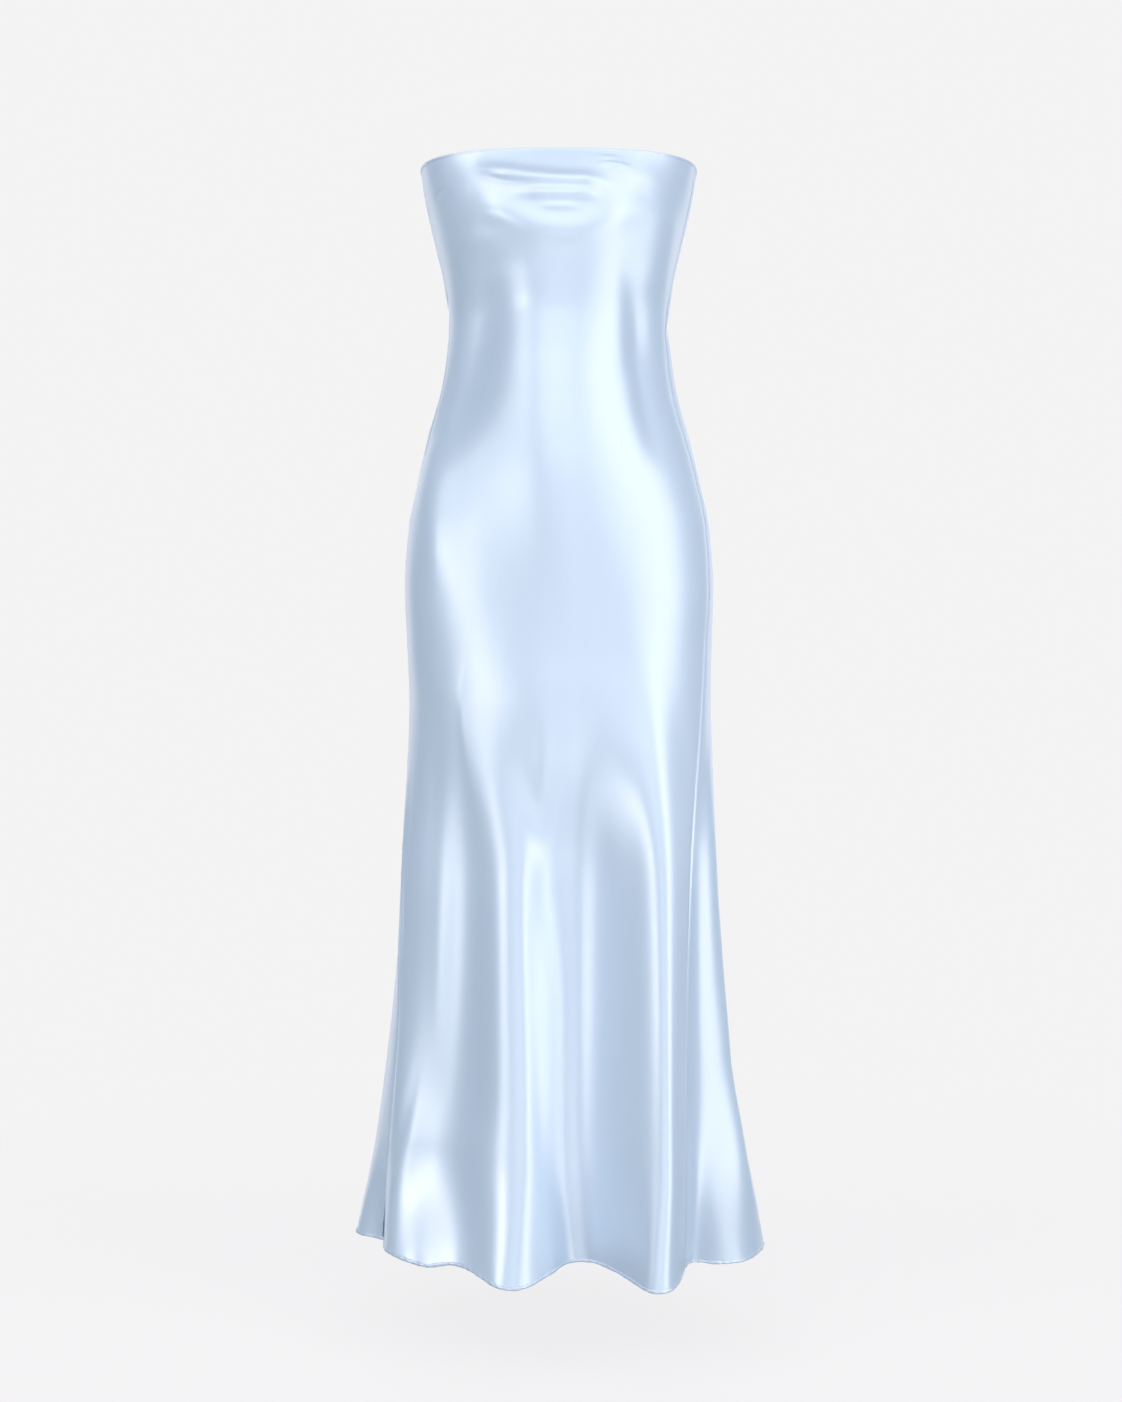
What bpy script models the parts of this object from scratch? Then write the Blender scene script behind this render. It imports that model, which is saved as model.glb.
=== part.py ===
"""Strapless satin dress, filled out as when it is worn, as a front panel and a back panel.

Metres, +Z up. The front of the dress faces -Y and +X is the right of the picture.
The origin is on the axis of the body at the bust line, where the wearer holds the dress up.
Each panel is an open surface through rings, made a cloth wall by Solidify.
Down to the hips a ring is a rounded oval. In the skirt it runs through the fold lines.
"""

from collections import namedtuple

import bpy
import numpy as np

MM = 0.001

# Driving sizes
TOP_Z = 0.032
WAIST_Z = -0.150
HIP_Z = -0.450
KNEE_Z = -0.780
CALF_Z = -1.090
HEM_Z = -1.209
WALL = 0.0015
SEAM_GAP = 0.0005

# Mesh fineness: length of a column at the hem, the least columns between two fold lines,
# and rows of faces in each stretch of height
FRONT_COLUMN = 0.0115
BACK_COLUMN = 0.0150
LEAST_COLUMNS = 3
ROW_STRETCHES = (
    (TOP_Z, WAIST_Z, 6),
    (WAIST_Z, HIP_Z, 7),
    (HIP_Z, KNEE_Z, 6),
    (KNEE_Z, CALF_Z, 4),
    (CALF_Z, HEM_Z, 4),
)

# Rings of the body in millimetres: front and back are the depths before and behind the side line,
# front_power and back_power are the powers of the oval (2 is an ellipse, 1 a diamond, more is squarer),
# and twist is in degrees, right side forward.
BodyRing = namedtuple("BodyRing", "z half_width front back front_power back_power twist")
BODY_RINGS = (
    BodyRing(32, 160.0, 102.5, 95, 2.60, 2.60, 0),
    BodyRing(0, 155.5, 119.0, 98, 2.15, 2.15, 0),
    BodyRing(-30, 149.0, 125.0, 97, 2.05, 2.05, 0),
    BodyRing(-60, 141.8, 122.0, 94, 2.05, 2.05, 0),
    BodyRing(-100, 133.0, 109.0, 89, 2.05, 2.10, 1),
    BodyRing(-150, 128.1, 96.0, 85, 2.00, 2.15, 2),
    BodyRing(-190, 132.0, 94.0, 87, 1.95, 2.20, 2),
    BodyRing(-230, 138.7, 96.0, 93, 1.95, 2.25, 3),
    BodyRing(-280, 152.5, 100.0, 105, 2.00, 2.30, 3),
    BodyRing(-330, 164.5, 102.0, 116, 2.15, 2.35, 3),
    BodyRing(-380, 174.8, 102.0, 124, 2.25, 2.35, 3),
    BodyRing(-450, 179.5, 102.0, 127, 2.25, 2.25, 4),
    BodyRing(-520, 177.7, 105.0, 124, 2.05, 2.05, 6),
    BodyRing(-580, 177.2, 110.0, 120, 2.00, 2.00, 10),
)

# Fold lines round the skirt, from the left seam along the front to the right, and back behind.
# turn: degrees round the body rings from the front, positive to the right.
# knee, calf, hem: x and y in millimetres, and the heading of the cloth in degrees (0 is along +X).
# drop: how far the hem hangs below its level there, in millimetres.
# reach_in, reach_out: how far the cloth keeps that heading before and after the line,
# as a share of the distance to the neighbouring line.
FoldLine = namedtuple("FoldLine", "name turn knee calf hem drop reach_in reach_out")
FOLD_LINES = (
    FoldLine("left_seam", -84, (-184, -2, -84), (-194, -4, -62), (-203, 3, -80), 0, 0.12, 0.42),
    FoldLine("left_crest", -60, (-130, -43, -26), (-136, -42, -26), (-146, -82, -24), 7, 0.26, 0.18),
    FoldLine("left_valley", -49, (-99, -63, -42), (-110, -59, -41), (-119, -90, -24), 0, 0.34, 0.40),
    FoldLine("mid_crest", -33, (-46, -98, 0), (-41, -116, 0), (-50, -144, 0), 13, 0.36, 0.34),
    FoldLine("mid_valley", -4, (-6, -82, 0), (-3, -92, 0), (14, -88, 0), 0, 0.38, 0.32),
    FoldLine("right_crest", 57, (114, -136, 0), (116, -156, 0), (108, -152, 0), 10, 0.13, 0.20),
    FoldLine("right_seam", 80, (145, -114, 50), (138, -128, 64), (139, -104, 72), 0, 0.38, 0.20),
    FoldLine("right_lobe", 88, (160, -101, 24), (161, -98, 25), (172, -70, 22), 0, 0.40, 0.44),
    FoldLine("right_side", 98, (178, -76, 84), (207, -66, 84), (237, -6, 88), 0, 0.24, 0.38),
    FoldLine("back_valley_1", 118, (174, -8, 98), (190, 24, 118), (200, 74, 140), 0, 0.38, 0.38),
    FoldLine("back_crest_1", 136, (146, 84, 132), (154, 122, 146), (150, 160, 168), 6, 0.40, 0.40),
    FoldLine("back_valley_2", 154, (90, 110, 166), (88, 112, 180), (84, 104, 180), 0, 0.42, 0.42),
    FoldLine("back_crest_2", 176, (16, 132, 178), (14, 160, 178), (12, 184, 178), 7, 0.42, 0.42),
    FoldLine("back_valley_3", 200, (-58, 114, 184), (-62, 112, 182), (-64, 102, 182), 0, 0.42, 0.42),
    FoldLine("back_crest_3", 222, (-116, 108, 200), (-126, 136, 192), (-132, 164, 192), 6, 0.40, 0.40),
    FoldLine("back_valley_4", 240, (-158, 66, 238), (-180, 82, 228), (-196, 88, 222), 0, 0.38, 0.38),
    FoldLine("left_side", 262, (-181, 26, 264), (-217, 38, 264), (-242, 33, 268), 0, 0.38, 0.36),
)

SATIN_COLOUR = (0.60, 0.72, 0.88, 1.0)
SATIN_ROUGHNESS = 0.35


def clear_scene():
    for scene_object in list(bpy.data.objects):
        bpy.data.objects.remove(scene_object, do_unlink=True)


def satin_material(name):
    material = bpy.data.materials.new(name)
    material.use_nodes = True
    shader = material.node_tree.nodes["Principled BSDF"]
    shader.inputs["Base Color"].default_value = SATIN_COLOUR
    shader.inputs["Roughness"].default_value = SATIN_ROUGHNESS
    return material


def smooth_slopes(knots, values):
    """Slopes of a smooth curve through values that never overshoots them."""
    steps = np.diff(knots)[:, None]
    chords = np.diff(values, axis=0) / steps
    slopes = np.zeros_like(values)
    slopes[0], slopes[-1] = chords[0], chords[-1]
    before, after = chords[:-1], chords[1:]
    same_way = before * after > 0.0
    near, far = 2 * steps[1:] + steps[:-1], steps[1:] + 2 * steps[:-1]
    safe_before, safe_after = np.where(same_way, before, 1.0), np.where(same_way, after, 1.0)
    mean = (near + far) / (near / safe_before + far / safe_after)
    slopes[1:-1] = np.where(same_way, mean, 0.0)
    return slopes


def smooth_through(knots, values, places):
    """Values at places on the smooth curve through the knots, a column for each value."""
    slopes = smooth_slopes(knots, values)
    spans = np.clip(np.searchsorted(knots, places) - 1, 0, len(knots) - 2)
    step = (knots[spans + 1] - knots[spans])[:, None]
    t = (places - knots[spans])[:, None] / step
    start, end = values[spans], values[spans + 1]
    return (
        start * (1 + 2 * t) * (1 - t) ** 2
        + slopes[spans] * step * t * (1 - t) ** 2
        + end * t * t * (3 - 2 * t)
        + slopes[spans + 1] * step * t * t * (t - 1)
    )


def turns_along(positions):
    """Turn round the body, in radians, at positions counted in fold lines from the left seam."""
    turns = np.radians([line.turn for line in FOLD_LINES])
    full = 2 * np.pi
    knots = np.arange(-2, len(turns) + 3, dtype=float)
    lapped = np.concatenate((turns[-2:] - full, turns, turns[:3] + full))
    return smooth_through(knots, lapped[:, None], positions)[:, 0]


def body_ring(ring, turns):
    """Points of a rounded oval at the given turns."""
    side, ahead = np.sin(turns), np.cos(turns)
    depth = np.where(ahead > 0, ring.front, ring.back)
    power = np.where(ahead > 0, ring.front_power, ring.back_power)
    reach = (np.abs(side) / ring.half_width) ** power + (np.abs(ahead) / depth) ** power
    radius = reach ** (-1.0 / power) * MM
    twist = np.radians(ring.twist)
    x, y = radius * side, -radius * ahead
    return np.stack(
        (x * np.cos(twist) + y * np.sin(twist), y * np.cos(twist) - x * np.sin(twist)), axis=1
    )


def fold_ring(level, positions):
    """Points of a skirt ring, as cubic curves from fold line to fold line."""
    marks = np.array([getattr(line, level) for line in FOLD_LINES], dtype=float)
    points = marks[:, :2] * MM
    headings = np.radians(marks[:, 2])
    ways = np.stack((np.cos(headings), np.sin(headings)), axis=1)
    first = np.floor(positions).astype(int) % len(FOLD_LINES)
    second = (first + 1) % len(FOLD_LINES)
    start, end = points[first], points[second]
    chord = np.linalg.norm(end - start, axis=1)[:, None]
    reach_out = np.array([line.reach_out for line in FOLD_LINES])[first][:, None]
    reach_in = np.array([line.reach_in for line in FOLD_LINES])[second][:, None]
    leave = start + ways[first] * chord * reach_out
    arrive = end - ways[second] * chord * reach_in
    t = (positions - np.floor(positions))[:, None]
    return (
        start * (1 - t) ** 3 + leave * 3 * t * (1 - t) ** 2
        + arrive * 3 * t * t * (1 - t) + end * t ** 3
    )


def row_heights():
    rows = [TOP_Z]
    for upper, lower, count in ROW_STRETCHES:
        rows.extend(np.linspace(upper, lower, count + 1)[1:])
    return np.array(rows)


def column_positions(first_line, last_line, column):
    """Positions of a panel's columns, spaced by the length of the hem between fold lines."""
    positions = [float(first_line)]
    for line in range(first_line, last_line):
        start = np.array(FOLD_LINES[line % len(FOLD_LINES)].hem[:2])
        end = np.array(FOLD_LINES[(line + 1) % len(FOLD_LINES)].hem[:2])
        count = max(LEAST_COLUMNS, round(np.linalg.norm(end - start) * MM / column))
        positions.extend(np.linspace(line, line + 1, count + 1)[1:])
    return np.array(positions)


def hem_drop(positions, heights):
    """How far the cloth hangs below its level, which is all in the lowest part of the skirt."""
    drops = np.array([line.drop for line in FOLD_LINES], dtype=float)
    knots = np.arange(-1, len(drops) + 1, dtype=float)
    lapped = np.concatenate((drops[-1:], drops, drops[:1]))[:, None] * MM
    share = np.clip((CALF_Z - heights) / (CALF_Z - HEM_Z), 0.0, 1.0) ** 2
    return share[:, None] * smooth_through(knots, lapped, positions)[:, 0]


def cloth_points(positions, heights):
    """Points of the cloth's outer face, indexed by row, column and coordinate."""
    turns = turns_along(positions)
    rings = [body_ring(ring, turns) for ring in BODY_RINGS]
    rings += [fold_ring(level, positions) for level in ("knee", "calf", "hem")]
    ring_heights = [ring.z * MM for ring in BODY_RINGS] + [KNEE_Z, CALF_Z, HEM_Z]
    flat_rings = np.stack([ring.ravel() for ring in rings])
    depths = -np.array(ring_heights)
    rows = smooth_through(depths, flat_rings, -heights)
    plan = rows.reshape(len(heights), len(positions), 2)
    level = np.broadcast_to(heights[:, None], plan.shape[:2]) - hem_drop(positions, heights)
    return np.concatenate((plan, level[:, :, None]), axis=2)


def open_seam(points):
    """Draw both side edges of a panel back from the seam by half the gap."""
    for edge, inside in ((0, 1), (-1, -2)):
        inward = points[:, inside] - points[:, edge]
        inward /= np.linalg.norm(inward, axis=1)[:, None]
        points[:, edge] += inward * SEAM_GAP / 2


def panel(name, first_line, last_line, column, collection, parent):
    positions = column_positions(first_line, last_line, column)
    points = cloth_points(positions, row_heights())
    open_seam(points)
    rows, columns = points.shape[:2]
    faces = [
        (r * columns + c, (r + 1) * columns + c, (r + 1) * columns + c + 1, r * columns + c + 1)
        for r in range(rows - 1)
        for c in range(columns - 1)
    ]
    mesh = bpy.data.meshes.new(name)
    mesh.from_pydata(points.reshape(-1, 3).tolist(), [], faces)
    mesh.shade_smooth()
    mesh.materials.append(satin_material(name + "_satin"))
    cloth = bpy.data.objects.new(name, mesh)
    collection.objects.link(cloth)
    cloth.parent = parent
    wall = cloth.modifiers.new("wall", "SOLIDIFY")
    wall.thickness = WALL
    wall.offset = -1.0
    wall.use_even_offset = True
    return cloth


def build_dress():
    collection = bpy.data.collections.new("strapless_dress")
    bpy.context.scene.collection.children.link(collection)
    held_at = bpy.data.objects.new("held_at_bust", None)
    collection.objects.link(held_at)
    names = [line.name for line in FOLD_LINES]
    left_seam, right_seam = names.index("left_seam"), names.index("right_seam")
    panel("front_panel", left_seam, right_seam, FRONT_COLUMN, collection, held_at)
    panel("back_panel", right_seam, len(names), BACK_COLUMN, collection, held_at)


clear_scene()
build_dress()
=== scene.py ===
"""Looks of a strapless satin dress, filled out as when it is worn.

Each panel is a fine sheet on the form of its solid, with the creases that the photo shows laid in
along its normals, a turned top edge, a narrow rolled hem and a sewn groove at the side seams.
Metres, +Z up. The front faces -Y, and +X is the right of the picture.
"""

import math
from collections import namedtuple

import bpy
import numpy as np
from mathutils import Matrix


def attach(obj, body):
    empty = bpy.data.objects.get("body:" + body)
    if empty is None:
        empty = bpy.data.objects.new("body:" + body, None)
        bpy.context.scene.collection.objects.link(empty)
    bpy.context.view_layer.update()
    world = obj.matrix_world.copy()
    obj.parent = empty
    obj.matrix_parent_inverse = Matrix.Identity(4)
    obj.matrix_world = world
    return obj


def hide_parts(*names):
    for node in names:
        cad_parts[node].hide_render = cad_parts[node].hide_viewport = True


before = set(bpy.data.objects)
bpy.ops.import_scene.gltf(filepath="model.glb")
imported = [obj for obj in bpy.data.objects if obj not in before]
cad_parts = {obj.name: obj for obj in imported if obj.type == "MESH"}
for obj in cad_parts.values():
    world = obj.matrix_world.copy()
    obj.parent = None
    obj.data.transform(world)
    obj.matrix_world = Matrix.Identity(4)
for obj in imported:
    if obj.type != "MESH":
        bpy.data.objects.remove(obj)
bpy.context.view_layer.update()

MM = 0.001

# Heights of the form
TOP_Z = 0.032
BUST_LOW_Z = -0.075
KNEE_Z = -0.780
CALF_Z = -1.090
HEM_Z = -1.209

# Fineness of the sheets, and the thickness of the cloth
COLUMN = 0.0048
BUST_ROW = 0.0023
ROW = 0.0066
EDGE_STEPS = (0.0012, 0.0028, 0.0050)
CLOTH = 0.0006

# Rounding of the fold crests: the height where it starts, over what height it comes in,
# how far from a seam it is whole, and how many times the points are averaged
ROUND_FROM = -0.58
ROUND_OVER = 0.14
ROUND_SEAM = 0.035
ROUND_PASSES = 8

# Sewing: the groove of a seam, the turned edges, and the puckers beside them,
# which are uneven waves from the longest to the shortest of two lengths
SEAM_WIDTH = 0.0018
SEAM_DEPTH = 0.0012
SEAM_PUCKER = 0.00035
SEAM_PUCKER_REACH = 0.011
SEAM_PUCKER_WAVES = (0.034, 0.011)
HEM_HEIGHT = 0.0042
HEM_THICKNESS = 0.0020
HEM_UNEVEN = 0.45
HEM_PUCKER = 0.0006
HEM_PUCKER_REACH = 0.011
HEM_PUCKER_WAVES = (0.047, 0.014)
TOP_HEIGHT = 0.0030
TOP_THICKNESS = 0.0016
TOP_UNEVEN = 0.15

# Turned edges: the steps along them, the points round them, the waves of their height, thickness
# and lean, and the shares of the unevenness that go to their height and lean
EDGE_STEP = 0.0019
ROLL_SIDES = 12
ROLL_HEIGHT_WAVES = (0.041, 0.0075)
ROLL_THICKNESS_WAVES = (0.019, 0.0052)
ROLL_LEAN_WAVE = 0.0093
ROLL_HEIGHT_SHARE = 0.5
ROLL_LEAN_SHARE = 0.25

# Uneven waves: the share of each sine, and how far the seed and the sine's place turn its start
WAVE_SHARES = (0.31, 0.23, 0.19, 0.15, 0.12)
WAVE_SEED_TURN = 1.7
WAVE_PLACE_TURN = 2.4

# Flat sizes of the cut panels, width and length, and their areas
FRONT_CUT = (0.54, 1.28)
FRONT_AREA = 0.53
BACK_CUT = (1.02, 1.28)
BACK_AREA = 0.77

# Rings of the body in millimetres: front and back are the depths before and behind the side
# line, front_power and back_power are the powers of the oval (2 is an ellipse, 1 a diamond, more
# is squarer), and twist is in degrees, right side forward.
BodyRing = namedtuple("BodyRing", "z half_width front back front_power back_power twist")
BODY_RINGS = (
    BodyRing(32, 160.0, 102.5, 95, 2.60, 2.60, 0),
    BodyRing(0, 155.5, 119.0, 98, 2.15, 2.15, 0),
    BodyRing(-30, 149.0, 125.0, 97, 2.05, 2.05, 0),
    BodyRing(-60, 141.8, 122.0, 94, 2.05, 2.05, 0),
    BodyRing(-100, 133.0, 109.0, 89, 2.05, 2.10, 1),
    BodyRing(-150, 128.1, 96.0, 85, 2.00, 2.15, 2),
    BodyRing(-190, 132.0, 94.0, 87, 1.95, 2.20, 2),
    BodyRing(-230, 138.7, 96.0, 93, 1.95, 2.25, 3),
    BodyRing(-280, 152.5, 100.0, 105, 2.00, 2.30, 3),
    BodyRing(-330, 164.5, 102.0, 116, 2.15, 2.35, 3),
    BodyRing(-380, 174.8, 102.0, 124, 2.25, 2.35, 3),
    BodyRing(-450, 179.5, 102.0, 127, 2.25, 2.25, 4),
    BodyRing(-520, 177.7, 105.0, 124, 2.05, 2.05, 6),
    BodyRing(-580, 177.2, 110.0, 120, 2.00, 2.00, 10),
)

# Fold lines round the skirt, from the left seam along the front to the right, and back behind.
# turn: degrees round the body rings from the front, positive to the right.
# knee, calf, hem: x and y in millimetres, and the heading of the cloth in degrees (0 is along +X).
# drop: how far the hem hangs below its level there, in millimetres.
# reach_in, reach_out: how far the cloth keeps that heading before and after the line,
# as a share of the distance to the neighbouring line.
Fold = namedtuple("Fold", "name turn knee calf hem drop reach_in reach_out")
FOLD_LINES = (
    Fold("left_seam", -84, (-184, -2, -84), (-194, -4, -62), (-203, 3, -80), 0, 0.12, 0.42),
    Fold("left_crest", -60, (-130, -43, -26), (-136, -42, -26), (-146, -82, -24), 7, 0.26, 0.18),
    Fold("left_valley", -49, (-99, -63, -42), (-110, -59, -41), (-119, -90, -24), 0, 0.34, 0.40),
    Fold("mid_crest", -33, (-46, -98, 0), (-41, -116, 0), (-50, -144, 0), 13, 0.36, 0.34),
    Fold("mid_valley", -4, (-6, -82, 0), (-3, -92, 0), (14, -88, 0), 0, 0.38, 0.32),
    Fold("right_crest", 57, (114, -136, 0), (116, -156, 0), (108, -152, 0), 10, 0.13, 0.20),
    Fold("right_seam", 80, (145, -114, 50), (138, -128, 64), (139, -104, 72), 0, 0.38, 0.20),
    Fold("right_lobe", 88, (160, -101, 24), (161, -98, 25), (172, -70, 22), 0, 0.40, 0.44),
    Fold("right_side", 98, (178, -76, 84), (207, -66, 84), (237, -6, 88), 0, 0.24, 0.38),
    Fold("back_valley_1", 118, (174, -8, 98), (190, 24, 118), (200, 74, 140), 0, 0.38, 0.38),
    Fold("back_crest_1", 136, (146, 84, 132), (154, 122, 146), (150, 160, 168), 6, 0.40, 0.40),
    Fold("back_valley_2", 154, (90, 110, 166), (88, 112, 180), (84, 104, 180), 0, 0.42, 0.42),
    Fold("back_crest_2", 176, (16, 132, 178), (14, 160, 178), (12, 184, 178), 7, 0.42, 0.42),
    Fold("back_valley_3", 200, (-58, 114, 184), (-62, 112, 182), (-64, 102, 182), 0, 0.42, 0.42),
    Fold("back_crest_3", 222, (-116, 108, 200), (-126, 136, 192), (-132, 164, 192), 6, 0.40, 0.40),
    Fold("back_valley_4", 240, (-158, 66, 238), (-180, 82, 228), (-196, 88, 222), 0, 0.38, 0.38),
    Fold("left_side", 262, (-181, 26, 264), (-217, 38, 264), (-242, 33, 268), 0, 0.38, 0.36),
)

# Creases laid on the form, each a smooth curve through three points.
# side: the view in which it lies. Points are millimetres across (x on the front and back, y on
# the sides) and up.
# width: half width of the crease in millimetres.
# spread: how many times as wide it is on the left of its way from the first point to the last,
# which is the picture's right where it runs down the front.
# height: how many millimetres it stands out, or sinks where negative.
# lead, tail: the shares of its length over which it rises and dies away.
Crease = namedtuple("Crease", "side a0 z0 a1 z1 a2 z2 width spread height lead tail")
CREASES = (
    # slack of the bust, which hangs in a shallow curve from side to side
    Crease("front", -106, -10, 0, -61, 104, -22, 15, 1.0, 3.6, 0.22, 0.25),
    # drag folds across it
    Crease("front", -98, 16, -26, -6, 64, -6, 6.6, 1.5, 6.4, 0.30, 0.20),
    Crease("front", -58, -20, 0, -24, 52, -21, 5.6, 1.3, 4.2, 0.35, 0.30),
    Crease("front", -28, -36, 2, -38, 26, -37, 4.0, 1.0, 1.7, 0.40, 0.40),
    Crease("front", 40, 9, 60, 13, 82, 8, 3.2, 1.0, 2.2, 0.40, 0.40),
    Crease("front", 36, 18, 56, 21, 74, 17, 3.0, 1.0, 1.4, 0.40, 0.40),
    # trough from under the left of the bust to the left hip
    Crease("front", -78, -30, -92, -180, -148, -320, 27, 1.2, -9.5, 0.50, 0.30),
    # blunt ridge down the belly, towards the right hip
    Crease("front", 0, -40, -8, -290, 66, -600, 52, 1.25, 13.5, 0.40, 0.42),
    # wedge from under the right of the bust, first between two folds and then down to the hip
    Crease("front", 72, -66, 87, -145, 98, -216, 14, 1.1, -5.5, 0.65, 0.50),
    Crease("front", 82, -140, 98, -230, 116, -330, 15, 3.0, -6.0, 0.35, 0.40),
    # fullness at the right of the bust
    Crease("front", 120, -10, 116, -70, 108, -130, 20, 1.0, 4.0, 0.30, 0.35),
    # first fold: its dark left flank, the narrow crest beside it, and its flare at the hem
    Crease("front", -168, -520, -176, -800, -186, -1080, 20, 1.0, -6.0, 0.60, 0.45),
    Crease("front", -122, -540, -130, -800, -138, -1080, 16, 1.0, 5.0, 0.55, 0.40),
    Crease("front", -180, -940, -184, -1110, -192, -1300, 17, 1.0, 10.0, 0.85, 0.01),
    Crease("front", -186, -1092, -125, -1098, -40, -1090, 58, 1.0, 6.0, 0.20, 0.35),
    # second fold: slack where it starts, and its shallow right flank
    Crease("front", -8, -570, -12, -680, -16, -800, 18, 1.0, 6.0, 0.40, 0.50),
    Crease("front", -14, -740, -10, -1000, -8, -1250, 16, 1.0, 6.0, 0.40, 0.01),
    # valley beside the third fold, the fold's crest, the feet of both, and the crest's top
    Crease("front", 30, -380, 22, -800, 20, -1250, 34, 1.2, -13.5, 0.60, 0.01),
    Crease("front", 108, -560, 111, -850, 112, -1250, 24, 1.0, 3.0, 0.40, 0.01),
    Crease("front", -4, -1040, 0, -1200, 4, -1400, 26, 1.0, 16.0, 0.98, 0.01),
    Crease("front", 108, -1060, 108, -1210, 108, -1400, 22, 1.0, 14.0, 0.98, 0.01),
    Crease("front", 104, -500, 106, -680, 108, -900, 25, 1.0, 4.0, 0.42, 0.62),
    # steeper edge of the third fold at the hem
    Crease("front", 150, -1010, 151, -1190, 152, -1400, 11, 1.0, -15.0, 0.98, 0.01),
    # right lobe: its breadth, its outer edge, and its flare at the hem
    Crease("front", 174, -660, 183, -880, 198, -1080, 18, 1.0, 4.5, 0.45, 0.40),
    Crease("front", 196, -980, 204, -1080, 214, -1250, 20, 1.0, 5.0, 0.50, 0.01),
    Crease("front", 176, -980, 186, -1200, 200, -1430, 36, 1.0, 30.0, 0.98, 0.01),
    # fullness of the left hip
    Crease("front", -152, -270, -142, -370, -140, -480, 22, 1.0, 4.5, 0.40, 0.40),
    # small puckers near the side seams
    Crease("front", -141, -13, -135, -7, -128, -1, 2.6, 1.0, -1.0, 0.40, 0.40),
    Crease("front", 131, -2, 135, 2, 139, 7, 2.6, 1.0, -0.8, 0.40, 0.40),
    # upper back and the small of the back
    Crease("back", -110, 10, -20, -8, 58, 2, 9, 1.0, -0.9, 0.50, 0.50),
    Crease("back", -90, -52, -68, -104, -32, -148, 12, 1.0, -2.6, 0.40, 0.40),
    Crease("back", 86, -66, 62, -108, 26, -146, 10, 1.0, -2.2, 0.40, 0.40),
    Crease("back", -98, -112, -10, -146, 70, -118, 12, 1.0, -2.2, 0.50, 0.50),
    Crease("back", -62, -150, 16, -172, 100, -140, 12, 1.0, 1.5, 0.50, 0.50),
    Crease("back", -104, -172, -22, -204, 52, -190, 13, 1.0, -1.7, 0.50, 0.50),
    # seat, and the slack below it
    Crease("back", -128, -238, -92, -326, -44, -420, 22, 1.0, 3.4, 0.40, 0.45),
    Crease("back", 130, -256, 98, -338, 60, -436, 24, 1.0, -3.0, 0.40, 0.45),
    Crease("back", -124, -470, -20, -528, 84, -496, 19, 1.0, -2.0, 0.50, 0.50),
    Crease("back", -40, -556, 40, -566, 118, -520, 16, 1.0, 1.3, 0.50, 0.50),
    # slim folds between those of the skirt's back
    Crease("back", -30, -690, -34, -900, -38, -1250, 10, 1.0, 2.6, 0.45, 0.01),
    Crease("back", 46, -730, 50, -950, 54, -1250, 11, 1.0, -2.6, 0.45, 0.01),
    Crease("back", -160, -640, -166, -880, -174, -1250, 13, 1.0, 3.0, 0.45, 0.01),
    # sides: from the arms to the waist, over the hips, and down the skirt
    Crease("left", -34, -88, 2, -134, 34, -160, 8, 1.0, -2.0, 0.40, 0.40),
    Crease("left", -16, -196, 14, -300, 20, -430, 15, 1.0, 2.8, 0.40, 0.45),
    Crease("left", 62, -620, 70, -880, 84, -1250, 12, 1.0, 3.0, 0.45, 0.01),
    Crease("right", 30, -96, -2, -142, -34, -168, 9, 1.0, -2.0, 0.40, 0.40),
    Crease("right", 34, -244, 22, -350, 8, -480, 17, 1.0, 2.8, 0.40, 0.45),
    Crease("right", 18, -660, 30, -900, 48, -1250, 13, 1.0, -2.8, 0.45, 0.01),
)

# Each view of a crease: the axis across it, and the way the cloth faces there. A crease fades out
# where the cloth turns away from its view. Its curve is taken at a number of points, and it is
# worked out to a number of half widths from them.
SIDE_VIEWS = {
    "front": (0, (0.0, -1.0, 0.0)),
    "back": (0, (0.0, 1.0, 0.0)),
    "right": (1, (1.0, 0.0, 0.0)),
    "left": (1, (-1.0, 0.0, 0.0)),
}
FACING_FROM = 0.12
FACING_OVER = 0.35
CURVE_POINTS = 60
CREASE_REACH = 3


def smooth_slopes(knots, values):
    """Slopes of a smooth curve through values that never overshoots them."""
    steps = np.diff(knots)[:, None]
    chords = np.diff(values, axis=0) / steps
    slopes = np.zeros_like(values)
    slopes[0], slopes[-1] = chords[0], chords[-1]
    before, after = chords[:-1], chords[1:]
    same_way = before * after > 0.0
    near, far = 2 * steps[1:] + steps[:-1], steps[1:] + 2 * steps[:-1]
    safe_before, safe_after = np.where(same_way, before, 1.0), np.where(same_way, after, 1.0)
    mean = (near + far) / (near / safe_before + far / safe_after)
    slopes[1:-1] = np.where(same_way, mean, 0.0)
    return slopes


def smooth_through(knots, values, places):
    """Values at places on the smooth curve through the knots, a column for each value."""
    slopes = smooth_slopes(knots, values)
    spans = np.clip(np.searchsorted(knots, places) - 1, 0, len(knots) - 2)
    step = (knots[spans + 1] - knots[spans])[:, None]
    t = (places - knots[spans])[:, None] / step
    start, end = values[spans], values[spans + 1]
    return (
        start * (1 + 2 * t) * (1 - t) ** 2
        + slopes[spans] * step * t * (1 - t) ** 2
        + end * t * t * (3 - 2 * t)
        + slopes[spans + 1] * step * t * t * (t - 1)
    )


def turns_along(positions):
    """Turn round the body, in radians, at positions counted in fold lines from the left seam."""
    turns = np.radians([line.turn for line in FOLD_LINES])
    full = 2 * np.pi
    knots = np.arange(-2, len(turns) + 3, dtype=float)
    lapped = np.concatenate((turns[-2:] - full, turns, turns[:3] + full))
    return smooth_through(knots, lapped[:, None], positions)[:, 0]


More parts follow.
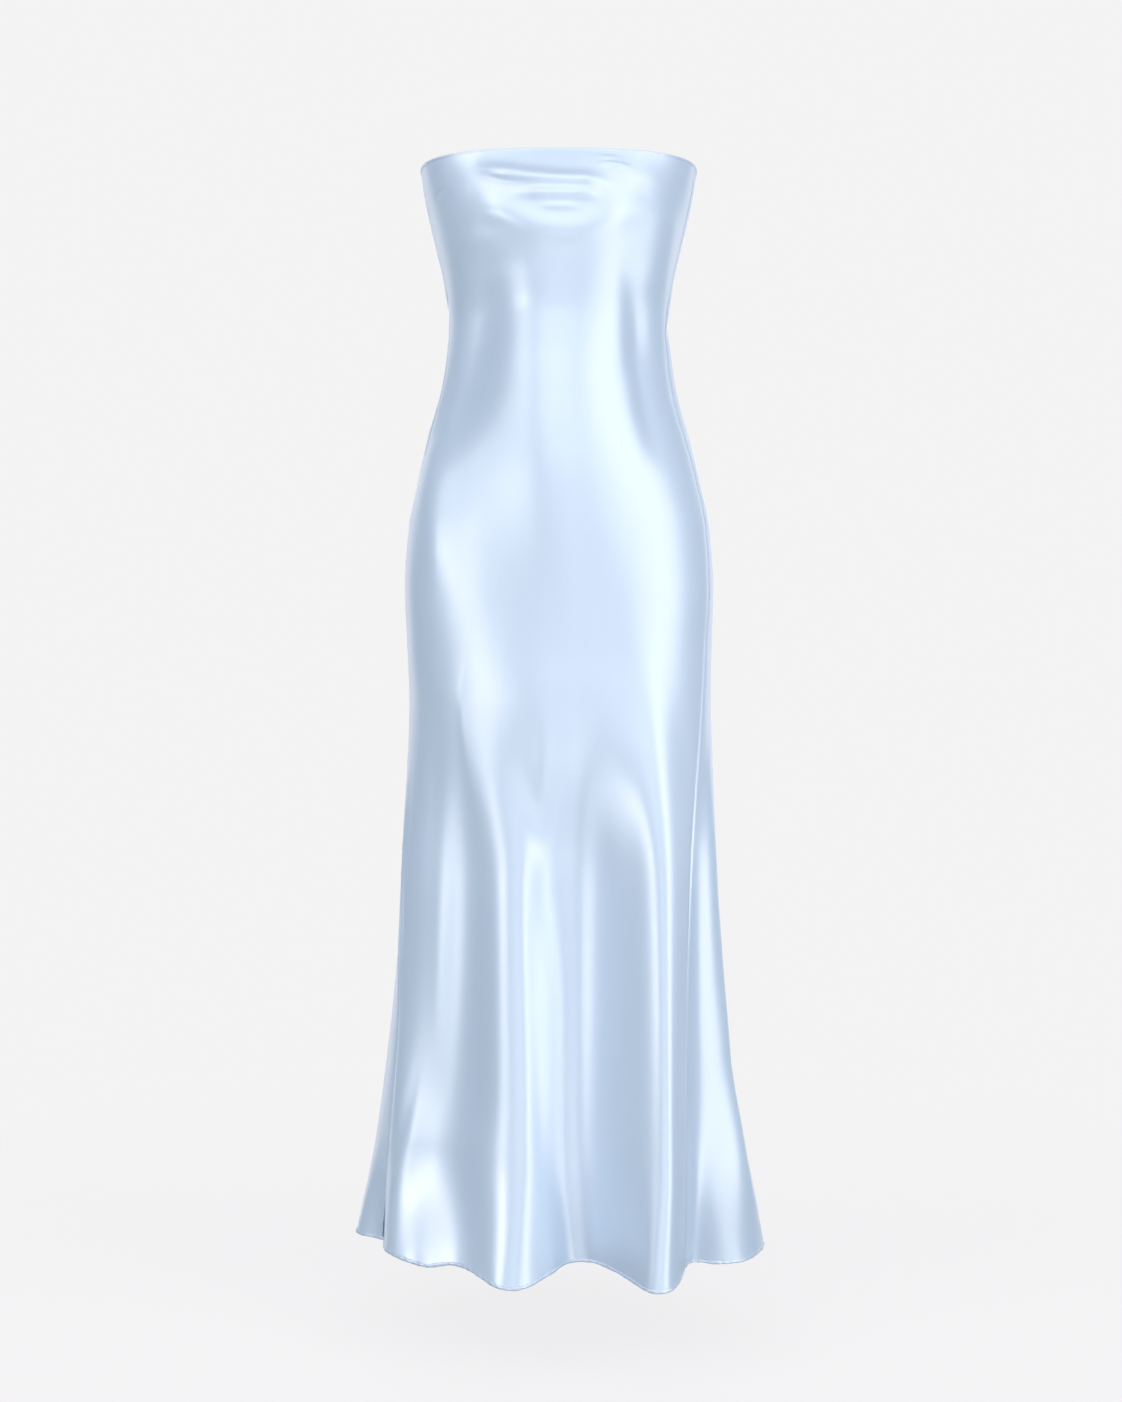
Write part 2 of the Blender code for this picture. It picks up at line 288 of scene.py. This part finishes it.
def body_ring(ring, turns):
    """Points of a rounded oval at the given turns."""
    side, ahead = np.sin(turns), np.cos(turns)
    depth = np.where(ahead > 0, ring.front, ring.back)
    power = np.where(ahead > 0, ring.front_power, ring.back_power)
    reach = (np.abs(side) / ring.half_width) ** power + (np.abs(ahead) / depth) ** power
    radius = reach ** (-1.0 / power) * MM
    twist = np.radians(ring.twist)
    x, y = radius * side, -radius * ahead
    return np.stack(
        (x * np.cos(twist) + y * np.sin(twist), y * np.cos(twist) - x * np.sin(twist)), axis=1
    )


def fold_ring(level, positions):
    """Points of a skirt ring, as cubic curves from fold line to fold line."""
    marks = np.array([getattr(line, level) for line in FOLD_LINES], dtype=float)
    points = marks[:, :2] * MM
    headings = np.radians(marks[:, 2])
    ways = np.stack((np.cos(headings), np.sin(headings)), axis=1)
    first = np.floor(positions).astype(int) % len(FOLD_LINES)
    second = (first + 1) % len(FOLD_LINES)
    start, end = points[first], points[second]
    chord = np.linalg.norm(end - start, axis=1)[:, None]
    reach_out = np.array([line.reach_out for line in FOLD_LINES])[first][:, None]
    reach_in = np.array([line.reach_in for line in FOLD_LINES])[second][:, None]
    leave = start + ways[first] * chord * reach_out
    arrive = end - ways[second] * chord * reach_in
    t = (positions - np.floor(positions))[:, None]
    return (
        start * (1 - t) ** 3 + leave * 3 * t * (1 - t) ** 2
        + arrive * 3 * t * t * (1 - t) + end * t ** 3
    )


def hem_drop(positions, heights):
    """How far the cloth hangs below its level, all of it between the calf and the hem."""
    drops = np.array([line.drop for line in FOLD_LINES], dtype=float)
    knots = np.arange(-1, len(drops) + 1, dtype=float)
    lapped = np.concatenate((drops[-1:], drops, drops[:1]))[:, None] * MM
    share = np.clip((CALF_Z - heights) / (CALF_Z - HEM_Z), 0.0, 1.0) ** 2
    return share[:, None] * smooth_through(knots, lapped, positions)[:, 0]


def cloth_points(positions, heights):
    """Points of the cloth's outer face, indexed by row, column and coordinate."""
    turns = turns_along(positions)
    rings = [body_ring(ring, turns) for ring in BODY_RINGS]
    rings += [fold_ring(level, positions) for level in ("knee", "calf", "hem")]
    ring_heights = [ring.z * MM for ring in BODY_RINGS] + [KNEE_Z, CALF_Z, HEM_Z]
    flat_rings = np.stack([ring.ravel() for ring in rings])
    depths = -np.array(ring_heights)
    rows = smooth_through(depths, flat_rings, -heights)
    plan = rows.reshape(len(heights), len(positions), 2)
    level = np.broadcast_to(heights[:, None], plan.shape[:2]) - hem_drop(positions, heights)
    return np.concatenate((plan, level[:, :, None]), axis=2)


def smoothstep(t):
    """An even rise from 0 to 1 that starts and ends level."""
    t = np.clip(t, 0.0, 1.0)
    return t * t * (3 - 2 * t)


def column_positions(first_line, last_line):
    """Positions of a panel's columns, evenly spaced along the hem and finer beside the seams."""
    positions = [float(first_line)]
    for line in range(first_line, last_line):
        start = np.array(FOLD_LINES[line % len(FOLD_LINES)].hem[:2])
        end = np.array(FOLD_LINES[(line + 1) % len(FOLD_LINES)].hem[:2])
        length = np.linalg.norm(end - start) * MM
        steps = np.linspace(line, line + 1, round(length / COLUMN) + 1)[1:]
        if line == first_line:
            positions.extend(line + step / length for step in EDGE_STEPS)
            steps = steps[steps > positions[-1] + 0.5 * COLUMN / length]
        if line == last_line - 1:
            beside = [line + 1 - step / length for step in reversed(EDGE_STEPS)]
            clear = steps < beside[0] - 0.5 * COLUMN / length
            steps = np.concatenate((steps[clear], beside, [line + 1.0]))
        positions.extend(steps)
    return np.array(positions)


def row_heights():
    """Heights of the rows, finer in the bust and beside the edges."""
    edge = np.array(EDGE_STEPS)
    bust = np.arange(TOP_Z - edge[-1] - BUST_ROW, BUST_LOW_Z, -BUST_ROW)
    low = HEM_Z + edge[-1]
    rest = np.linspace(BUST_LOW_Z, low, round((BUST_LOW_Z - low) / ROW) + 1)
    return np.concatenate(([TOP_Z], TOP_Z - edge, bust, rest, HEM_Z + edge[-2::-1], [HEM_Z]))


def outward(points):
    """Unit normals of a grid of points, pointing out of the dress."""
    normals = np.cross(np.gradient(points, axis=0), np.gradient(points, axis=1))
    return normals / np.linalg.norm(normals, axis=2)[:, :, None]


def crease_heights(crease, points, normals):
    """How far a crease moves each point out along its normal."""
    across, facing = SIDE_VIEWS[crease.side]
    start = np.array((crease.a0, crease.z0)) * MM
    middle = np.array((crease.a1, crease.z1)) * MM
    end = np.array((crease.a2, crease.z2)) * MM
    control = 2 * middle - (start + end) / 2
    t = np.linspace(0, 1, CURVE_POINTS)[:, None]
    curve = start * (1 - t) ** 2 + control * 2 * t * (1 - t) + end * t * t
    tangents = np.gradient(curve, axis=0)
    tangents /= np.linalg.norm(tangents, axis=1)[:, None]
    flat = points[:, :, (across, 2)].reshape(-1, 2)
    reach = CREASE_REACH * crease.width * max(1.0, crease.spread) * MM
    low, high = curve.min(axis=0) - reach, curve.max(axis=0) + reach
    near = np.flatnonzero(np.all((flat > low) & (flat < high), axis=1))
    heights = np.zeros(len(flat))
    away = flat[near, None, :] - curve[None, :, :]
    nearest = np.argmin((away ** 2).sum(axis=2), axis=1)
    away = away[np.arange(len(near)), nearest]
    along = tangents[nearest]
    beside = along[:, 1] * away[:, 0] - along[:, 0] * away[:, 1]
    beyond = (along * away).sum(axis=1)
    length = np.linalg.norm(np.diff(curve, axis=0), axis=1).sum()
    share = nearest / (CURVE_POINTS - 1) + beyond / length
    width = np.where(beside < 0, crease.width * crease.spread, crease.width) * MM
    strength = smoothstep(share / crease.lead) * smoothstep((1 - share) / crease.tail)
    heights[near] = crease.height * MM * strength * np.exp(-((beside / width) ** 2))
    turned = smoothstep((normals @ np.array(facing) - FACING_FROM) / FACING_OVER)
    return heights.reshape(points.shape[:2]) * turned


def noise_along(steps, seed, waves):
    """A smooth uneven wave along an edge, from sines between the longest and the shortest wave."""
    longest, shortest = waves
    total = np.zeros(len(steps))
    for k, share in enumerate(WAVE_SHARES):
        length = longest * (shortest / longest) ** (k / (len(WAVE_SHARES) - 1))
        turned = 2 * np.pi * steps / length + WAVE_SEED_TURN * seed + WAVE_PLACE_TURN * k * k
        total += share * np.sin(turned)
    return total


def rounded(points, heights):
    """The same sheet with the crests of the skirt's folds made rounder, away from the seams."""
    steps = np.linalg.norm(np.diff(points[-1], axis=0), axis=1)
    from_left = np.concatenate(([0.0], np.cumsum(steps)))
    from_seam = np.minimum(from_left, from_left[-1] - from_left)
    below = smoothstep((ROUND_FROM - heights) / ROUND_OVER)
    weight = below[:, None, None] * smoothstep(from_seam / ROUND_SEAM)[None, 1:-1, None]
    points = points.copy()
    for _ in range(ROUND_PASSES):
        mean = (points[:, :-2] + 2 * points[:, 1:-1] + points[:, 2:]) / 4
        points[:, 1:-1] += weight * (mean - points[:, 1:-1])
    return points


def panel_points(first_line, last_line, seed, seam_seeds):
    """Points of a panel's outer face with its creases and the puckers of its seams and hem.

    A column more at each side gives both panels the same normals along their seam.
    """
    heights = row_heights()
    positions = column_positions(first_line, last_line)
    before, after = 2 * positions[:1] - positions[1:2], 2 * positions[-1:] - positions[-2:-1]
    beyond = np.concatenate((before, positions, after))
    points = rounded(cloth_points(beyond, heights), heights)
    normals = outward(points)[:, 1:-1]
    points = points[:, 1:-1]
    lift = np.zeros(points.shape[:2])
    for crease in CREASES:
        lift += crease_heights(crease, points, normals)
    steps = np.linalg.norm(np.diff(points, axis=1), axis=2)
    from_left = np.concatenate((np.zeros((len(heights), 1)), np.cumsum(steps, axis=1)), axis=1)
    from_right = from_left[:, -1:] - from_left
    for distance, seam_seed in zip((from_left, from_right), seam_seeds):
        pucker = noise_along(heights, seam_seed, SEAM_PUCKER_WAVES)[:, None] * SEAM_PUCKER
        lift -= SEAM_DEPTH * np.exp(-((distance / SEAM_WIDTH) ** 2))
        lift += pucker * np.exp(-((distance / SEAM_PUCKER_REACH) ** 2))
    gathers = noise_along(from_left[-1], seed + 2, HEM_PUCKER_WAVES) * HEM_PUCKER
    gathers *= smoothstep(np.minimum(from_left[-1], from_right[-1]) / (2 * HEM_PUCKER_REACH))
    lift += gathers * np.exp(-(((heights - HEM_Z) / HEM_PUCKER_REACH) ** 2))[:, None]
    return points + normals * lift[:, :, None]


def grid_object(name, points, materials):
    """A mesh from a grid of points, with a map that runs across and up along the grain."""
    rows, columns = points.shape[:2]
    r, c = np.meshgrid(np.arange(rows - 1), np.arange(columns - 1), indexing="ij")
    corner = (r * columns + c).ravel()
    faces = np.stack((corner, corner + columns, corner + columns + 1, corner + 1), axis=1)
    mesh = bpy.data.meshes.new(name)
    mesh.from_pydata(points.reshape(-1, 3).tolist(), [], faces.tolist())
    mesh.shade_smooth()
    grain = mesh.uv_layers.new(name="grain")
    across = (faces % columns) / (columns - 1)
    up = 1 - (faces // columns) / (rows - 1)
    grain.data.foreach_set("uv", np.stack((across, up), axis=2).ravel())
    for material in materials:
        mesh.materials.append(material)
    piece = bpy.data.objects.new(name, mesh)
    bpy.context.scene.collection.objects.link(piece)
    return piece


def cloth_piece(name, points, materials):
    """A thin sheet of cloth, satin outside and its dull back inside."""
    piece = grid_object(name, points, materials)
    wall = piece.modifiers.new("cloth", "SOLIDIFY")
    wall.thickness = CLOTH
    wall.offset = -1.0
    wall.material_offset = 1
    return piece


def resampled(edge, step):
    """An edge's points again at even steps, with the distance of each along it."""
    steps = np.linalg.norm(np.diff(edge[:, :3], axis=0), axis=1)
    lengths = np.concatenate(([0], np.cumsum(steps)))
    places = np.linspace(0, lengths[-1], round(lengths[-1] / step) + 1)
    return np.stack([np.interp(places, lengths, column) for column in edge.T], axis=1), places


def rolled_edge(name, points, row, up, height, thickness, uneven, seed, material):
    """A narrow turned edge along a row of a panel, fuller and tighter from place to place.

    up is 1 where the edge lies above the row and -1 where it lies below.
    """
    normals = outward(points)[row]
    edge, places = resampled(np.concatenate((points[row], normals), axis=1), EDGE_STEP)
    centre, normal = edge[:, :3], edge[:, 3:]
    normal /= np.linalg.norm(normal, axis=1)[:, None]
    wave = noise_along(places, seed, ROLL_HEIGHT_WAVES)
    bite = noise_along(places, seed + 5, ROLL_THICKNESS_WAVES)
    tall = height * (1 + uneven * ROLL_HEIGHT_SHARE * wave)
    thick = thickness * (1 + uneven * bite)
    rings = []
    for k in range(ROLL_SIDES + 1):
        angle = np.pi - 2 * np.pi * k / ROLL_SIDES
        lean = np.sin(2 * np.pi * places / ROLL_LEAN_WAVE + 2 * angle + seed)
        lean *= uneven * ROLL_LEAN_SHARE * thickness
        out = thick / 2 * np.cos(angle) + lean - CLOTH / 2
        rise = tall / 2 * np.sin(angle) + up * (height / 2 - CLOTH)
        rings.append(centre + normal * out[:, None] + np.array((0.0, 0.0, 1.0)) * rise[:, None])
    return grid_object(name, np.stack(rings), [material])


# Satin. Its floats run up the dress with a slight lean, and vary the gloss and the relief.
# Wider streaks vary the tone.
SATIN = {
    "IOR": 1.9,
    "Sheen Weight": 0.12,
    "Sheen Roughness": 0.4,
    "Sheen Tint": (0.85, 0.93, 1.0, 1.0),
}
FLOATS_SCALE = (1400.0, 1400.0, 90.0)
FLOATS_LEAN = 8.0
FLOATS_DETAIL = 3.0
FLOATS_RANGE = (0.3, 0.7)
STREAKS_SCALE = (60.0, 60.0, 2.2)
STREAKS_DETAIL = 4.0
GLOSS_VARIES = 0.03
RELIEF_DEPTH = 0.0001
STREAK = 0.02
BLUE = (0.455, 0.590, 0.735)
BLUE_BACK = (0.55, 0.67, 0.84)


def stretched_noise(nodes, links, place, scale, lean, detail):
    """Noise drawn out along the dress."""
    mapping = nodes.new("ShaderNodeMapping")
    mapping.inputs["Scale"].default_value = scale
    mapping.inputs["Rotation"].default_value = (0.0, math.radians(lean), 0.0)
    links.new(place.outputs["Object"], mapping.inputs["Vector"])
    noise = nodes.new("ShaderNodeTexNoise")
    noise.inputs["Scale"].default_value = 1.0
    noise.inputs["Detail"].default_value = detail
    links.new(mapping.outputs["Vector"], noise.inputs["Vector"])
    return noise


def satin(name, colour, roughness, level, bump):
    """Satin: a smooth face with faint streaks of its long floats and a very fine relief."""
    material = bpy.data.materials.new(name)
    material.use_nodes = True
    nodes, links = material.node_tree.nodes, material.node_tree.links
    shader = nodes["Principled BSDF"]
    for socket, value in SATIN.items():
        shader.inputs[socket].default_value = value
    shader.inputs["Specular IOR Level"].default_value = level
    place = nodes.new("ShaderNodeTexCoord")
    floats = stretched_noise(nodes, links, place, FLOATS_SCALE, FLOATS_LEAN, FLOATS_DETAIL)
    streaks = stretched_noise(nodes, links, place, STREAKS_SCALE, 0.0, STREAKS_DETAIL)
    tone = nodes.new("ShaderNodeMix")
    tone.data_type = "RGBA"
    tone.inputs["A"].default_value = tuple(c * (1 - STREAK) for c in colour) + (1.0,)
    tone.inputs["B"].default_value = tuple(min(1.0, c * (1 + STREAK)) for c in colour) + (1.0,)
    links.new(streaks.outputs["Fac"], tone.inputs["Factor"])
    links.new(tone.outputs["Result"], shader.inputs["Base Color"])
    gloss = nodes.new("ShaderNodeMapRange")
    gloss.inputs["From Min"].default_value, gloss.inputs["From Max"].default_value = FLOATS_RANGE
    gloss.inputs["To Min"].default_value = roughness - GLOSS_VARIES
    gloss.inputs["To Max"].default_value = roughness + GLOSS_VARIES
    links.new(floats.outputs["Fac"], gloss.inputs["Value"])
    links.new(gloss.outputs["Result"], shader.inputs["Roughness"])
    relief = nodes.new("ShaderNodeBump")
    relief.inputs["Strength"].default_value = bump
    relief.inputs["Distance"].default_value = RELIEF_DEPTH
    links.new(floats.outputs["Fac"], relief.inputs["Height"])
    links.new(relief.outputs["Normal"], shader.inputs["Normal"])
    return material


# The panels: the fold lines they run between, their cuts, and seeds for their edges and seams.
# A seam has the same seed in both panels, so that the two puckered edges meet.
FOLD_NAMES = [line.name for line in FOLD_LINES]
LEFT_SEAM, RIGHT_SEAM = FOLD_NAMES.index("left_seam"), FOLD_NAMES.index("right_seam")
Panel = namedtuple("Panel", "word first last cut area seed seam_seeds")
PANELS = (
    Panel("front", LEFT_SEAM, RIGHT_SEAM, FRONT_CUT, FRONT_AREA, 1, (1, 2)),
    Panel("back", RIGHT_SEAM, len(FOLD_LINES), BACK_CUT, BACK_AREA, 4, (2, 1)),
)


def dress_up():
    """Build both panels with their turned edges in place of the solids."""
    outside = satin("satin_face", BLUE, roughness=0.37, level=1.0, bump=0.10)
    inside = satin("satin_back", BLUE_BACK, roughness=0.62, level=0.4, bump=0.20)
    for word, first, last, cut, area, seed, seam_seeds in PANELS:
        points = panel_points(first, last, seed, seam_seeds)
        cloth = cloth_piece(word + "_cloth", points, [outside, inside])
        hem = rolled_edge(
            word + "_hem", points, row=-1, up=1, height=HEM_HEIGHT, thickness=HEM_THICKNESS,
            uneven=HEM_UNEVEN, seed=seed, material=outside,
        )
        top = rolled_edge(
            word + "_top_edge", points, row=0, up=-1, height=TOP_HEIGHT, thickness=TOP_THICKNESS,
            uneven=TOP_UNEVEN, seed=seed + 9, material=outside,
        )
        for piece in (cloth, hem, top):
            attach(piece, "root")
        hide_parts(word + "_panel")


# Camera and backdrop
CAMERA_AT = (0.0026, -2.1, -0.581)
LENS = 46.27
SENSOR = 36.0
PALE = (0.905, 0.896, 0.905, 1.0)
AMBIENT = (0.80, 0.84, 0.92, 1.0)
AMBIENT_STRENGTH = 0.30

# Floor: its height, the distances between which it fades out, and its look
FLOOR_Z = -1.33
FLOOR_FADE = (0.5, 1.7)
FLOOR = {
    "Base Color": (0.12, 0.12, 0.12, 1.0),
    "Roughness": 0.9,
    "Specular IOR Level": 0.0,
    "Emission Color": PALE,
    "Emission Strength": 0.88,
}

# Softboxes round the dress: turn in degrees from the front, distance, width, height and level in
# metres, power in watts, and dip of the face in degrees.
# The far left one lights the hips and the near low one the hem. Those of the brow are mirrored
# where the cloth faces up a little, and the low one where it faces down.
SOFT_WHITE = (1.0, 0.972, 0.992)
Softbox = namedtuple("Softbox", "name turn distance width height z power dip")
SOFTBOXES = (
    Softbox("soft_left", -50, 5.0, 2.05, 1.2, -0.32, 43, 0),
    Softbox("soft_left_low", -50, 1.3, 0.64, 0.62, -1.12, 1.9, 0),
    Softbox("soft_right", 51, 2.2, 1.25, 3.4, -0.8, 33, 0),
    Softbox("soft_front", 0, 3.4, 2.4, 2.0, -1.0, 11, 0),
    Softbox("soft_low", 0, 3.0, 3.0, 1.3, -2.1, 15, -30),
    Softbox("soft_brow_left", -51, 2.2, 1.1, 1.4, 1.2, 14, 30),
    Softbox("soft_brow", 0, 2.2, 2.2, 1.86, 1.0, 20.5, 30),
    Softbox("soft_brow_right", 48, 2.2, 0.9, 1.3, 1.45, 7, 30),
    Softbox("soft_top", 0, 1.0, 2.4, 1.4, 1.9, 11, 60),
    Softbox("soft_back_left", -138, 2.6, 1.3, 2.8, -0.5, 15, 0),
    Softbox("soft_back_right", 138, 2.6, 1.3, 2.8, -0.5, 15, 0),
    Softbox("soft_back", 180, 3.0, 2.4, 2.4, -0.3, 38, 0),
)


def add_softbox(box):
    """An area light that faces the dress and isn't seen itself."""
    light = bpy.data.lights.new(box.name, "AREA")
    light.shape = "RECTANGLE"
    light.size = box.width
    light.size_y = box.height
    light.energy = box.power
    light.color = SOFT_WHITE
    lamp = bpy.data.objects.new(box.name, light)
    angle = math.radians(box.turn)
    lamp.location = (box.distance * math.sin(angle), -box.distance * math.cos(angle), box.z)
    lamp.rotation_euler = (math.radians(90.0 - box.dip), 0.0, angle)
    lamp.visible_camera = False
    bpy.context.scene.collection.objects.link(lamp)


def pale_floor():
    """A plain floor that fades into the backdrop and casts nothing on the dress."""
    mesh = bpy.data.meshes.new("floor")
    half = FLOOR_FADE[1]
    corners = [(-half, -half, 0), (half, -half, 0), (half, half, 0), (-half, half, 0)]
    mesh.from_pydata(corners, [], [(0, 1, 2, 3)])
    floor = bpy.data.objects.new("floor", mesh)
    floor.location = (0.0, 0.0, FLOOR_Z)
    bpy.context.scene.collection.objects.link(floor)
    material = bpy.data.materials.new("pale_floor")
    material.use_nodes = True
    nodes, links = material.node_tree.nodes, material.node_tree.links
    shader = nodes["Principled BSDF"]
    for socket, value in FLOOR.items():
        shader.inputs[socket].default_value = value
    place = nodes.new("ShaderNodeTexCoord")
    away = nodes.new("ShaderNodeVectorMath")
    away.operation = "LENGTH"
    links.new(place.outputs["Object"], away.inputs[0])
    fade = nodes.new("ShaderNodeMapRange")
    fade.interpolation_type = "SMOOTHSTEP"
    fade.inputs["From Min"].default_value, fade.inputs["From Max"].default_value = FLOOR_FADE
    links.new(away.outputs["Value"], fade.inputs["Value"])
    clear = nodes.new("ShaderNodeBsdfTransparent")
    mix = nodes.new("ShaderNodeMixShader")
    links.new(fade.outputs["Result"], mix.inputs[0])
    links.new(shader.outputs["BSDF"], mix.inputs[1])
    links.new(clear.outputs["BSDF"], mix.inputs[2])
    links.new(mix.outputs["Shader"], nodes["Material Output"].inputs["Surface"])
    mesh.materials.append(material)
    floor.visible_diffuse = False
    floor.visible_glossy = False
    floor.visible_shadow = False


def studio():
    """The photo's camera, a pale backdrop that only the camera sees, and the softboxes."""
    scene = bpy.context.scene
    scene.view_settings.view_transform = "Standard"
    camera_data = bpy.data.cameras.new("camera")
    camera_data.sensor_width = SENSOR
    camera_data.lens = LENS
    camera = bpy.data.objects.new("camera", camera_data)
    camera.location = CAMERA_AT
    camera.rotation_euler = (math.radians(90.0), 0.0, 0.0)
    scene.collection.objects.link(camera)
    scene.camera = camera
    world = bpy.data.worlds.new("studio")
    scene.world = world
    world.use_nodes = True
    nodes, links = world.node_tree.nodes, world.node_tree.links
    ambient = nodes["Background"]
    ambient.inputs["Color"].default_value = AMBIENT
    ambient.inputs["Strength"].default_value = AMBIENT_STRENGTH
    backdrop = nodes.new("ShaderNodeBackground")
    backdrop.inputs["Color"].default_value = PALE
    seen = nodes.new("ShaderNodeLightPath")
    mix = nodes.new("ShaderNodeMixShader")
    links.new(seen.outputs["Is Camera Ray"], mix.inputs[0])
    links.new(ambient.outputs["Background"], mix.inputs[1])
    links.new(backdrop.outputs["Background"], mix.inputs[2])
    links.new(mix.outputs["Shader"], nodes["World Output"].inputs["Surface"])
    for box in SOFTBOXES:
        add_softbox(box)


dress_up()
pale_floor()
studio()
